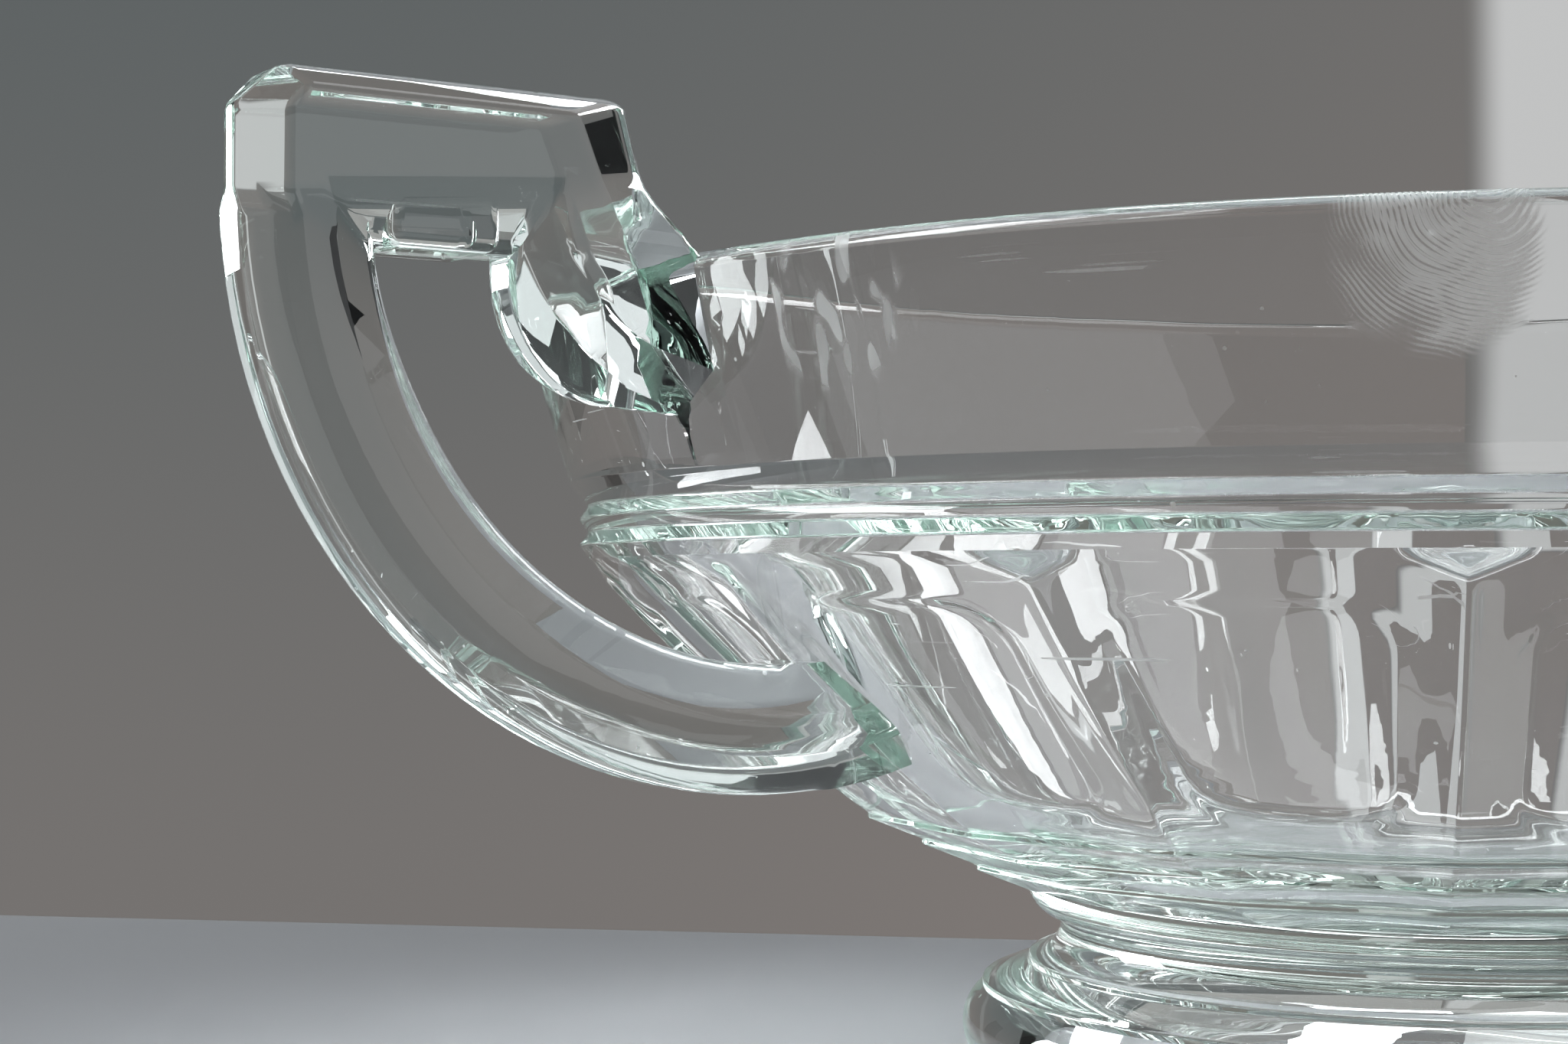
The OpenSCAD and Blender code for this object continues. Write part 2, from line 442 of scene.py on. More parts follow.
def bowl_inside():
    """Outline of the smooth inside, from the top of the rim down to the middle of the floor."""
    slope = (Vector(PANEL_TOP) - Vector(PANEL_FOOT)).normalized()
    wall = Vector(PANEL_FOOT) + WALL * Vector((-slope.y, slope.x))
    middle = Vector((0, NECK_Z + FLOOR_T))
    floor_edge = wall + slope * (middle.y + FLOOR_RISE - wall.y) / slope.y
    knee = wall + slope * (GROOVE_R - BEAD_WALL - wall.x) / slope.x
    lip = arc((RIM_R - LIP_R, RIM_Z - LIP_R), LIP_R, 90, 180, 8)
    bends = [(*lip[-1], 0), (*knee, KNEE_ROUND), (*floor_edge, FLOOR_ROUND), (*middle, 0)]
    return lip[:-1] + softened(bends, 12)


def match_columns(piece):
    """Moves the columns of a round sheet to where the panelled outside has its own."""
    for vertex in piece.data.vertices:
        radius = math.hypot(vertex.co.x, vertex.co.y)
        turn = respaced(math.atan2(vertex.co.y, vertex.co.x), GROOVE_R)[0]
        vertex.co.x, vertex.co.y = radius * math.cos(turn), radius * math.sin(turn)


def make_bowl():
    """The bowl, before the handles are joined to it."""
    bowl = draw_outline("bowl_glass", bowl_outside())
    spin_round(bowl, COLUMNS)
    inside = draw_outline("bowl_inside", bowl_inside())
    spin_round(inside, COLUMNS)
    press_panels(bowl)
    match_columns(inside)
    join(bowl, inside)
    close_up(bowl)
    return bowl


# Foot


def make_foot():
    """The waisted foot with its rounded base ring, hollow underneath."""
    waist = LEDGE_R - NECK_R
    rest_turn = math.acos(REST_W / 2 / BASE_ROUND)
    ring = (BASE_R - BASE_ROUND, BASE_ROUND * math.sin(rest_turn))
    brow = (ring[0] + BASE_ROUND * math.cos(BASE_BROW), ring[1] + BASE_ROUND * math.sin(BASE_BROW))
    rest = math.degrees(rest_turn)
    outline = [(0, NECK_Z - JOINT_SLIT), (NECK_R, NECK_Z - JOINT_SLIT)]
    outline += arc((LEDGE_R, LEDGE_Z + waist), waist, 180, 268, 12)
    outline += softened([
        (LEDGE_R - LEDGE_SOFT, LEDGE_Z, 0),
        (LEDGE_R, LEDGE_Z, LEDGE_SOFT),
        (LEDGE_R, LEDGE_Z - LEDGE_STEP, LEDGE_SOFT),
        (brow[0], brow[1] + LEDGE_STEP, BROW_SOFT),
        (*brow, 0),
    ])[1:-1]
    outline += arc(ring, BASE_ROUND, math.degrees(BASE_BROW), -rest, 20)
    outline += arc(ring, BASE_ROUND, -180 + rest, -180, 8)
    hollow = [(ring[0] - BASE_ROUND, ring[1], 0), (HOLLOW_R, HOLLOW_H, HOLLOW_ROUND), (0, HOLLOW_H, 0)]
    outline += softened(hollow, 6)[1:]
    foot = draw_outline("foot_glass", outline)
    spin_round(foot, FOOT_COLUMNS)
    return foot


# Handles


def lap(z):
    """Radius of the line inside the band that the root reaches in to."""
    return RIM_R - ROOT_LAP - BAND_LEAN * (RIM_Z - z)


def bend(start, pull, end, steps):
    """Points of a curve between two points, pulled towards a third."""
    start, pull, end = Vector(start), Vector(pull), Vector(end)
    shares = [i / steps for i in range(steps + 1)]
    return [tuple((1 - s) ** 2 * start + 2 * s * (1 - s) * pull + s * s * end) for s in shares]


def handle_edges():
    """Edge of the handle's core as (x, z, half thickness), each with its flat side's edge as (x, z)."""
    inner_r = ARM_R - ARM_W
    under = HANDLE_TOP - BAR_H
    arm_top = math.degrees(math.asin((under - ARM_MID[1]) / inner_r))
    root_top = math.degrees(math.asin((under - ROOT_MID[1]) / ROOT_R))
    flat_top = HANDLE_TOP - TOP_BEVEL
    flat_end = HANDLE_END - END_BEVEL

    knuckle = [
        ((HANDLE_END - KNUCKLE, HANDLE_TOP, CORE_HALF), (HANDLE_END - KNUCKLE - KNUCKLE_IN, flat_top)),
        ((HANDLE_END, HANDLE_TOP - KNUCKLE, KNUCKLE_HALF), (flat_end, HANDLE_TOP - KNUCKLE - KNUCKLE_DROP)),
        ((HANDLE_END, ARM_MID[1], KNUCKLE_HALF), (flat_end, ARM_MID[1] - ARM_DROP)),
    ]
    arm_core = arc(ARM_MID, ARM_R, ARM_FIRST, ARM_LAST, ARM_STEPS)
    arm_core += arc(ARM_MID, inner_r, ARM_LAST, arm_top, ARM_STEPS)
    arm_side = arc(ARM_MID, ARM_R - OUTER_BEVEL, SIDE_FIRST, SIDE_LAST, ARM_STEPS)
    arm_side += arc(ARM_MID, inner_r + INNER_BEVEL, SIDE_LAST, SIDE_TOP, ARM_STEPS)
    arm_half = [CORE_HALF] * (ARM_STEPS + 1)
    for i in range(ARM_STEPS + 1):
        arm_half.append(CORE_HALF + (INNER_HALF - CORE_HALF) * ease((ARM_STEPS - i) / WIDE_STEPS))
    arm = [((*core, half), side) for core, half, side in zip(arm_core, arm_half, arm_side)]

    root_core = arc(ROOT_MID, ROOT_R, root_top, ROOT_LAST, ROOT_STEPS)
    root_half = []
    for i in range(ROOT_STEPS + 1):
        root_half.append(CORE_HALF * min(1, (ROOT_STEPS + ROOT_TAIL_STEPS - i) / ROOT_THIN_STEPS))
    root_side = bend(LEAF_PEAK, LEAF_PULL, ROOT_EYE, ROOT_STEPS + 2)
    root = [((*core, half), side) for core, half, side in zip(root_core, root_half, root_side)]
    root.append(((lap(ROOT_TIP_Z), ROOT_TIP_Z, ROOT_TIP_HALF), root_side[ROOT_STEPS + 1]))
    post = []
    for i in range(POST_STEPS + 1):
        z = ROOT_CORNER[1] + (HANDLE_TOP - ROOT_CORNER[1]) * i / POST_STEPS
        side_z = ROOT_EYE[1] + (flat_top - ROOT_EYE[1]) * i / POST_STEPS
        post.append((post_core(z), (post_side(side_z), side_z)))
    return knuckle + arm + root + post


def post_core(z):
    """Edge of the core on the bowl's side of the post, which flares where it runs on to the band."""
    flare = ease((RIM_Z + FLARE_UP - z) / FLARE_LONG)
    lower = ease((RIM_Z - z) / (RIM_Z - ROOT_CORNER[1]))
    half = CORE_HALF + (ROOT_FLARE - CORE_HALF) * flare - (ROOT_FLARE - ROOT_CORNER[0]) * lower
    return lap(z) + POST_OUT * (1 - flare), z, half


def post_side(z):
    """Edge of the flat side along the post, with its jog at the rim."""
    jog = ease((z - RIM_Z + JOG_DOWN) / JOG_LONG)
    spread = POST_SPREAD * max(z - RIM_Z + SPREAD_DOWN, 0)
    return ROOT_EYE[0] + POST_LEAN * (z - ROOT_EYE[1]) + JOG_OUT * jog + spread


def edge_weights(shape, kinds):
    """Share of the full rounding that each crease of the handle gets."""
    layer = shape.edges.layers.float.new("bevel_weight_edge")
    in_wall = HIDDEN_X * MM
    for edge in shape.edges:
        hidden = any(vertex.co.x < in_wall for vertex in edge.verts)
        if hidden or edge.calc_face_angle(0) < LEAST_CREASE:
            continue
        a, b = edge.verts
        if kinds[a] == kinds[b] == "core":
            half = min(abs(a.co.y), abs(b.co.y)) / MM
            inside = max(a.co.x / MM - lap(a.co.z / MM), b.co.x / MM - lap(b.co.z / MM)) < LAP_SLACK
            most = 1 if a.co.y * b.co.y > 0 or edge.is_convex else HOLLOW_SHARE
            edge[layer] = 0 if inside else most * min(max(half - THIN_HALF, 0) / THIN_RUN, 1)
        else:
            from_eye = min((Vector((v.co.x, v.co.z)) / MM - Vector(ROOT_EYE)).length for v in (a, b))
            valley = kinds[a] != kinds[b] and not edge.is_convex
            edge[layer] = 0 if valley else SIDE_SHARE * ease((from_eye - EYE_CLEAR) / EYE_RUN)


def make_plate():
    """The handle on the +X side without its block: a core with a flat side raised on each face."""
    edges = handle_edges()
    plate = draw_outline("handle_right_form", [core[:2] for core, side in edges])
    edit(plate)
    bpy.ops.mesh.select_all(action="SELECT")
    bpy.ops.mesh.edge_face_add()
    bpy.ops.transform.translate(value=(0, -CORE_HALF * MM, 0))
    bpy.ops.mesh.extrude_region_move(TRANSFORM_OT_translate={"value": (0, 2 * CORE_HALF * MM, 0)})
    bpy.ops.mesh.select_all(action="SELECT")
    bpy.ops.mesh.normals_make_consistent(inside=False)
    bpy.ops.mesh.select_mode(type="FACE")
    select_where(plate, "faces", lambda face: abs(face.normal.y) > 0.9)
    bpy.ops.mesh.inset(thickness=FIRST_INSET * MM, use_individual=True)

    shape = bmesh.from_edit_mesh(plate.data)
    raised = {vertex for face in shape.faces if face.select for vertex in face.verts}
    kinds = {}
    for vertex in shape.verts:
        at = Vector((vertex.co.x, vertex.co.z)) / MM
        core, side = min(edges, key=lambda pair: (Vector(pair[0][:2]) - at).length_squared)
        kinds[vertex] = "side" if vertex in raised else "core"
        x, z = side if vertex in raised else core[:2]
        half = SIDE_HALF if vertex in raised else core[2]
        vertex.co = Vector((x, math.copysign(half, vertex.co.y), z)) * MM
    shape.normal_update()
    edge_weights(shape, kinds)
    bmesh.update_edit_mesh(plate.data)

    take_up(plate)
    bpy.ops.object.modifier_add(type="BEVEL")
    modifier = plate.modifiers[-1]
    modifier.limit_method, modifier.width, modifier.segments = "WEIGHT", EDGE_ROUND * MM, 5
    modifier.use_clamp_overlap = False
    bpy.ops.object.modifier_apply(modifier=modifier.name)
    edit(plate, "FACE")
    select_where(plate, "faces", lambda face: len(face.verts) > 4)
    bpy.ops.mesh.quads_convert_to_tris(ngon_method="BEAUTY")
    close_up(plate)
    return plate


def make_block():
    """The thicker lower edge of the bar, proud of the bevel on both sides."""
    low, high = HANDLE_TOP - BAR_H - BLOCK_DROP, HANDLE_TOP - BAR_H / 2
    start = HANDLE_END - ARM_W - BLOCK_LONG - BLOCK_GAP
    put_down()
    bpy.ops.mesh.primitive_cube_add(
        size=1,
        location=((start + BLOCK_LONG / 2) * MM, 0, (low + high) / 2 * MM),
        scale=Vector((BLOCK_LONG, 2 * BLOCK_HALF, high - low)) * MM,
    )
    block = bpy.context.object
    bpy.ops.object.transform_apply(location=True, scale=True)
    edit(block, "EDGE")
    select_where(block, "edges", lambda edge: min(v.co.z for v in edge.verts) < (low + 0.1) * MM)
    bpy.ops.mesh.bevel(offset=BLOCK_ROUND * MM, segments=6, affect="EDGES")
    close_up(block)
    return block


def make_drip():
    """The tapered seam of glass that runs down the band below the root's tip."""
    top, foot = ROOT_TIP_Z + DRIP_RISE, BAND_CORNER[1] + DRIP_STOP
    # Height, half width and how far the seam stands proud.
    stations = [(top, 3.4, 1.6), (top - 2.0, 1.5, 1.1), (top - 3.4, 0.7, 0.6), (foot, 0.4, 0.3)]
    rings = []
    for z, half, proud in stations:
        on_band = lap(z) + ROOT_LAP
        rings.append([
            (on_band - DRIP_SINK, -half, z),
            (on_band + proud, 0, z),
            (on_band - DRIP_SINK, half, z),
        ])
    put_down()
    mesh = bpy.data.meshes.new("handle_drip")
    points = [tuple(c * MM for c in point) for ring in rings for point in ring]
    faces = [(0, 1, 2), tuple(3 * len(rings) - k for k in (1, 2, 3))]
    for i in range(len(rings) - 1):
        faces += [(3 * i + a, 3 * i + 3 + a, 3 * i + 3 + b, 3 * i + b) for a, b in ((0, 1), (1, 2), (2, 0))]
    mesh.from_pydata(points, [], faces)
    drip = bpy.data.objects.new("handle_drip", mesh)
    bpy.context.collection.objects.link(drip)
    close_up(drip)
    return drip


def make_handle():
    """The handle on the +X side, before it is cut to the bowl."""
    handle = make_plate()
    for extra in (make_block(), make_drip()):
        combine(handle, extra, "UNION", "MANIFOLD")
        bpy.data.objects.remove(extra)
    return handle


def trim_to_wall(handle):
    """Cuts the arm's lower end off inside the thickness of the wall."""
    slope = (Vector(PANEL_TOP) - Vector(PANEL_FOOT)).normalized()
    inwards = Vector((-slope.y, slope.x))
    block = Vector(TRIM_BLOCK) * MM
    along = (ARM_MID[0] - PANEL_FOOT[0]) / 2
    middle = Vector(PANEL_FOOT) + slope * along + inwards * (TRIM_DEPTH + block.z / MM / 2)
    put_down()
    bpy.ops.mesh.primitive_cube_add(
        size=1,
        location=(middle.x * MM, 0, middle.y * MM),
        rotation=(0, -math.atan2(slope.y, slope.x), 0),
        scale=block,
    )
    cutter = bpy.context.object
    bpy.ops.object.transform_apply(location=True, rotation=True, scale=True)
    combine(handle, cutter, "DIFFERENCE")
    bpy.data.objects.remove(cutter)


def mirror_copy(piece, name):
    """A copy of a piece for the -X side, turned the right way out again."""
    copy = copy_of(piece, name)
    edit(copy)
    bpy.ops.mesh.select_all(action="SELECT")
    bpy.ops.transform.mirror(constraint_axis=(True, False, False), center_override=(0, 0, 0))
    bpy.ops.mesh.flip_normals()
    bpy.ops.object.mode_set(mode="OBJECT")
    return copy


# Joints between the pieces, where the glass is one body


def tell_apart(piece, kind):
    """Numbers every face of a piece, so that it can still be told apart after a boolean."""
    for number in range(len(piece.data.materials), 2):
        name = f"kind_{number}"
        piece.data.materials.append(bpy.data.materials.get(name) or bpy.data.materials.new(name))
    piece.data.polygons.foreach_set("material_index", [kind] * len(piece.data.polygons))


def keep_kind(piece, kind):
    """Keeps only the faces of a piece that have the given number."""
    edit(piece, "FACE")
    select_where(piece, "faces", lambda face: face.material_index != kind)
    bpy.ops.mesh.delete(type="FACE")
    bpy.ops.object.mode_set(mode="OBJECT")


def mark_joint(piece, joined):
    """Keeps on each face whether it is a joint, where light passes straight from piece to piece."""
    mark = piece.data.attributes.new("joint", "FLOAT", "FACE")
    mark.data.foreach_set("value", [1.0 if joined(face) else 0.0 for face in piece.data.polygons])


def part_joint(piece):
    """Draws the joint faces of a piece back by the width of the slit."""
    shape = bmesh.new()
    shape.from_mesh(piece.data)
    mark = shape.faces.layers.float["joint"]
    moves = {}
    for face in shape.faces:
        if face[mark] > 0.5:
            for vertex in face.verts:
                moves[vertex] = moves.get(vertex, Vector()) - face.normal
    for vertex, way in moves.items():
        vertex.co += way.normalized() * JOINT_SLIT * MM
    shape.to_mesh(piece.data)
    shape.free()


def join_handles(bowl, form):
    """Cuts both handles to the bowl and prints their feet on its outside."""
    tell_apart(bowl, 0)
    tell_apart(form, 1)
    form_left = mirror_copy(form, "handle_left_form")
    handle = copy_of(form, "handle_right_glass")
    combine(handle, bowl, "DIFFERENCE")
    print_right = copy_of(handle, "handle_right_print")
    keep_kind(print_right, 0)
    tell_apart(print_right, 1)
    edit(print_right)
    bpy.ops.mesh.select_all(action="SELECT")
    bpy.ops.mesh.flip_normals()
    bpy.ops.object.mode_set(mode="OBJECT")
    print_left = mirror_copy(print_right, "handle_left_print")
    for tool in (form, form_left):
        combine(bowl, tool, "DIFFERENCE")
        bpy.data.objects.remove(tool)
    keep_kind(bowl, 0)
    join(bowl, print_right, print_left)
    edit(bowl)
    bpy.ops.mesh.select_all(action="SELECT")
    bpy.ops.mesh.remove_doubles(threshold=PRINT_GAP)
    bpy.ops.mesh.select_all(action="SELECT")
    bpy.ops.mesh.fill_holes(sides=8)
    bpy.ops.mesh.select_all(action="DESELECT")
    bpy.ops.mesh.select_non_manifold(use_wire=False, use_multi_face=False, use_non_contiguous=False)
    bpy.ops.mesh.remove_doubles(threshold=SLIVER)
    bpy.ops.object.mode_set(mode="OBJECT")
    mark_joint(handle, lambda face: face.material_index == 0)
    mark_joint(bowl, lambda face: face.material_index == 1 or face.center.z < (NECK_Z + JOINT_SLIT) * MM)
    part_joint(handle)
    return handle, mirror_copy(handle, "handle_left_glass")


def smooth(piece, keep_flat):
    """Shades a piece smooth between its sharp edges, and keeps its wide flat faces flat where asked."""
    take_up(piece)
    bpy.ops.object.shade_smooth_by_angle(angle=SHARP_EDGE)
    if keep_flat:
        bpy.ops.object.modifier_add(type="WEIGHTED_NORMAL")
        modifier = piece.modifiers[-1]
        modifier.mode, modifier.weight, modifier.keep_sharp = "FACE_AREA", 50, True
        bpy.ops.object.modifier_apply(modifier=modifier.name)


bowl = make_bowl()
foot = make_foot()
form = make_handle()
trim_to_wall(form)
handle_right, handle_left = join_handles(bowl, form)
mark_joint(foot, lambda face: face.center.z > (NECK_Z - 2 * JOINT_SLIT) * MM)
pieces = {"bowl": bowl, "foot": foot, "handle_right": handle_right, "handle_left": handle_left}
for node, piece in pieces.items():
    smooth(piece, keep_flat=node.startswith("handle"))
    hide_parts(node)
    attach(piece, "root")


# Finish of the glass

GLASS_IOR = 1.52
GLASS_TINT = (0.3, 0.83, 0.61, 1)
BODY_DENSITY = 1.5
HANDLE_DENSITY = 5
BODY_RIPPLES = 0.07
HANDLE_RIPPLES = 0.05
SHADOW_CLEARNESS = 0.8
WAVE_STRENGTH = 0.12
WAVE_DEPTH = 0.0008
MARK_ROUGHNESS = 0.34

# Patterns on the glass: how many to a metre, how far stretched, and from where to where they show.
WAVES = 38
RIPPLES = 40
RIPPLE_STRETCH = (0.5, 0.5, 24)
SPECKS = 240
SPECK_SIZE = 0.075
SPECK_SHOWS = (0.7, 1.0)
SCRATCHES = 60
SCRATCH_STRETCH = (0.6, 0.6, 30)
SCRATCH_TURN = (0.7, 0.3, 0.4)
SCRATCH_SHOWS = (0.81, 0.82)
SCRATCH_PATCHES = 45
SCRATCH_PATCH_SHOWS = (0.62, 0.66)
TRAILS = 90
TRAIL_STRETCH = (5, 5, 0.3)
TRAIL_SHOWS = (0.56, 0.66)

# Handling marks on the band, in metres: a finger mark, the middle of its ridges, and dried streaks.
SMUDGE_AT = (-0.0883, -0.0839, 0.098)
SMUDGE_R = 0.0118
SWIRL_AT = (-0.0851, -0.0872, 0.1035)
FINGER_RIDGES = {"Scale": 650, "Distortion": 14, "Detail": 1, "Detail Scale": 0.22}
FINGER_FILM = 0.4
GREASE = 160
GREASE_SHOWS = (0.12, 0.52)
STREAKS_AT = (-0.1188, -0.0282, 0.0955)
STREAKS_R = 0.011
FADE_FROM = 0.7


def make(tree, kind, inputs=None, **settings):
    """Adds a node with its settings, and with its inputs given as values or as other nodes' outputs."""
    added = tree.nodes.new(kind)
    for name, value in settings.items():
        setattr(added, name, value)
    for slot, value in (inputs or {}).items():
        if isinstance(value, bpy.types.NodeSocket):
            tree.links.new(value, added.inputs[slot])
        else:
            added.inputs[slot].default_value = value
    return added


def worked_out(tree, first, second, operation="ADD"):
    """Value worked out from two others."""
    return make(tree, "ShaderNodeMath", {0: first, 1: second}, operation=operation).outputs[0]


def share_of(tree, value, start, end, most=1.0):
    """Value that rises smoothly from 0 at the start to its most at the end."""
    inputs = {"Value": value, "From Min": start, "From Max": end, "To Max": most}
    return make(tree, "ShaderNodeMapRange", inputs, interpolation_type="SMOOTHSTEP").outputs["Result"]


def mottle(tree, at, scale, stretch=(1, 1, 1), turn=(0, 0, 0), detail=0):
    """Noise that may be stretched and turned."""
    placed = make(tree, "ShaderNodeMapping", {"Vector": at, "Scale": stretch, "Rotation": turn})
    inputs = {"Vector": placed.outputs["Vector"], "Scale": scale, "Detail": detail}
    return make(tree, "ShaderNodeTexNoise", inputs).outputs["Fac"]


def near(tree, at, middle, reach):
    """Mask that fades out from a place on the glass."""
    apart = make(tree, "ShaderNodeVectorMath", {0: at, 1: middle}, operation="DISTANCE").outputs["Value"]
    return share_of(tree, apart, reach, FADE_FROM * reach)


def moulded_waves(group, at, strength):
    """Height of the slow waves left by the mould, with fine ripples low down."""
    level = make(group, "ShaderNodeSeparateXYZ", {0: at}).outputs["Z"]
    waves = mottle(group, at, WAVES, detail=1)
    low_down = share_of(group, level, SHOULDER_Z * MM, 0.25 * SHOULDER_Z * MM)
    ripples = worked_out(group, mottle(group, at, RIPPLES, RIPPLE_STRETCH), low_down, "MULTIPLY")
    return worked_out(group, waves, worked_out(group, ripples, strength, "MULTIPLY"))


def fine_specks(group, at):
    """Mask of small specks of different sizes."""
    cells = make(group, "ShaderNodeTexVoronoi", {"Vector": at, "Scale": SPECKS}).outputs
    picked = make(group, "ShaderNodeSeparateXYZ", {0: cells["Color"]}).outputs["X"]
    size = share_of(group, picked, *SPECK_SHOWS, SPECK_SIZE)
    return worked_out(group, cells["Distance"], size, "LESS_THAN")


def fine_scratches(group, at):
    """Mask of thin level scratches that lie together in patches."""
    lines = share_of(group, mottle(group, at, SCRATCHES, SCRATCH_STRETCH, SCRATCH_TURN), *SCRATCH_SHOWS)
    patches = share_of(group, mottle(group, at, SCRATCH_PATCHES), *SCRATCH_PATCH_SHOWS)
    return worked_out(group, lines, patches, "MULTIPLY")


def finger_mark(group, at):
    """Mask of a greasy finger mark with its ridges."""
    swirl = make(group, "ShaderNodeVectorMath", {0: at, 1: SWIRL_AT}, operation="SUBTRACT")
    inputs = {"Vector": swirl.outputs["Vector"], **FINGER_RIDGES}
    ridges = make(group, "ShaderNodeTexWave", inputs, wave_type="RINGS", rings_direction="SPHERICAL")
    film = worked_out(group, ridges.outputs["Fac"], FINGER_FILM)
    grease = share_of(group, mottle(group, at, GREASE), *GREASE_SHOWS)
    mark = worked_out(group, film, grease, "MULTIPLY")
    return worked_out(group, mark, near(group, at, SMUDGE_AT, SMUDGE_R), "MULTIPLY")


def dried_streaks(group, at):
    """Mask of upright streaks where drops have dried."""
    trails = share_of(group, mottle(group, at, TRAILS, TRAIL_STRETCH), *TRAIL_SHOWS)
    return worked_out(group, trails, near(group, at, STREAKS_AT, STREAKS_R), "MULTIPLY")


def glass_marks():
    """Marks of pressing and handling, as a height and a roughness."""
    group = bpy.data.node_groups.new("glass_marks", "ShaderNodeTree")
    group.interface.new_socket("Vector", in_out="INPUT", socket_type="NodeSocketVector")
    group.interface.new_socket("Ripples", in_out="INPUT", socket_type="NodeSocketFloat")
    group.interface.new_socket("Roughness", in_out="OUTPUT", socket_type="NodeSocketFloat")
    group.interface.new_socket("Height", in_out="OUTPUT", socket_type="NodeSocketFloat")
    given = group.nodes.new("NodeGroupInput").outputs
    at = given["Vector"]
    touched = worked_out(group, finger_mark(group, at), dried_streaks(group, at))
    worn = worked_out(group, fine_specks(group, at), fine_scratches(group, at))
    marks = worked_out(group, touched, worn)
    roughness = worked_out(group, marks, MARK_ROUGHNESS, "MULTIPLY")
    height = moulded_waves(group, at, given["Ripples"])
    make(group, "NodeGroupOutput", {"Roughness": roughness, "Height": height})
    return group


def make_glass(name, density, ripples, marks):
    """Clear fire-polished glass with a green tint in its depth and marks of pressing and handling."""
    material = bpy.data.materials.new(name)
    material.use_nodes = True
    tree = material.node_tree
    shader = tree.nodes["Principled BSDF"]
    shader.inputs["Base Color"].default_value = (1, 1, 1, 1)
    shader.inputs["Transmission Weight"].default_value = 1
    shader.inputs["IOR"].default_value = GLASS_IOR

    joint = make(tree, "ShaderNodeAttribute", attribute_name="joint").outputs["Fac"]
    shade = make(tree, "ShaderNodeLightPath").outputs["Is Shadow Ray"]
    gone = worked_out(tree, joint, worked_out(tree, shade, SHADOW_CLEARNESS, "MULTIPLY"), "MAXIMUM")
    tree.links.new(worked_out(tree, 1, gone, "SUBTRACT"), shader.inputs["Alpha"])

    place = make(tree, "ShaderNodeTexCoord").outputs["Object"]
    worn = make(tree, "ShaderNodeGroup", node_tree=marks)
    worn.inputs["Ripples"].default_value = ripples
    tree.links.new(place, worn.inputs["Vector"])
    tree.links.new(worn.outputs["Roughness"], shader.inputs["Roughness"])
    inputs = {"Strength": WAVE_STRENGTH, "Distance": WAVE_DEPTH, "Height": worn.outputs["Height"]}
    bump = make(tree, "ShaderNodeBump", inputs)
    tree.links.new(bump.outputs["Normal"], shader.inputs["Normal"])

    tint = make(tree, "ShaderNodeVolumeAbsorption", {"Color": GLASS_TINT, "Density": density})
    tree.links.new(tint.outputs["Volume"], tree.nodes["Material Output"].inputs["Volume"])
    return material


marks = glass_marks()
glass = make_glass("clear_glass_body", BODY_DENSITY, BODY_RIPPLES, marks)
handle_glass = make_glass("clear_glass_handles", HANDLE_DENSITY, HANDLE_RIPPLES, marks)
for node, piece in pieces.items():
    piece.data.materials.clear()
    piece.data.materials.append(handle_glass if node.startswith("handle") else glass)
    piece.data.polygons.foreach_set("material_index", [0] * len(piece.data.polygons))


# Camera, table, backdrop and lights, in metres

CAMERA_AT = Vector((-0.2761, -0.2593, 0.066))
CAMERA_TURN = math.radians(-33.15)
CAMERA_TILT = math.radians(91.38)
CAMERA_LENS = 61.1
AHEAD = Vector((-math.sin(CAMERA_TURN), math.cos(CAMERA_TURN), 0))
TO_RIGHT = Vector((math.cos(CAMERA_TURN), math.sin(CAMERA_TURN), 0))
TABLE_SIZE = Vector((2.4, 1.2, 0.03))
TABLE_EDGE = CAMERA_AT + AHEAD * 0.489 + TO_RIGHT * 0.1
TABLE_TURN = math.radians(10.4)
TABLE_GAP = 0.0001
TABLE_PALE = (0.3, 0.305, 0.315)
UNLIT = (0.03, 0.03, 0.03)
# Backdrop tones: painted shade at its left and top, running to a lighter warm grey towards its right and
# bottom.
WALL_SHADED = (0.1, 0.113, 0.115)
WALL_LIT = (0.198, 0.178, 0.168)
WALL_SHARE = 0.75
# Tones of the white card: painted shade along its left edge, running to pale.
CARD_SHADE = (0.16, 0.155, 0.15)
CARD_PALE = (0.53, 0.535, 0.535)
# Painted shade: black for a card standing in for a dark part of the room.
PAINTED_SHADE_BLACK = (0.001, 0.001, 0.001)
# Painted light: the upper wall glows brighter than the backdrop, standing in for light high in the room.
UPPER_PAINTED_LIGHT = (0.36, 0.36, 0.35)
ROOM_GREY = (0.055, 0.057, 0.058)
LIT_MIDDLE = Vector((-0.06, 0, 0.06))
LIGHT_REACH = 1.2
DAYLIGHT = (0.95, 0.98, 1)
BOUNCES = 40
CLEAR_BOUNCES = 32


def make_camera():
    """Camera at the photograph's place and angle."""
    bpy.ops.object.camera_add(location=CAMERA_AT, rotation=(CAMERA_TILT, 0, CAMERA_TURN))
    camera = bpy.context.object
    camera.name = "photo_camera"
    camera.data.lens = CAMERA_LENS
    camera.data.sensor_width = 36
    camera.data.clip_start = 0.01
    bpy.context.scene.camera = camera


def seen_directly(tree):
    """Value that is 1 for the camera and for what glass mirrors or lets through, and 0 for other light."""
    path = make(tree, "ShaderNodeLightPath").outputs
    by_glass = worked_out(tree, path["Is Glossy Ray"], path["Is Transmission Ray"], "MAXIMUM")
    return worked_out(tree, path["Is Camera Ray"], by_glass, "MAXIMUM")


def matt_finish(name, colour):
    """Plain matt finish."""
    material = bpy.data.materials.new(name)
    material.use_nodes = True
    shader = material.node_tree.nodes["Principled BSDF"]
    shader.inputs["Base Color"].default_value = (*colour, 1)
    shader.inputs["Roughness"].default_value = 0.6
    shader.inputs["Specular IOR Level"].default_value = 0
    return material


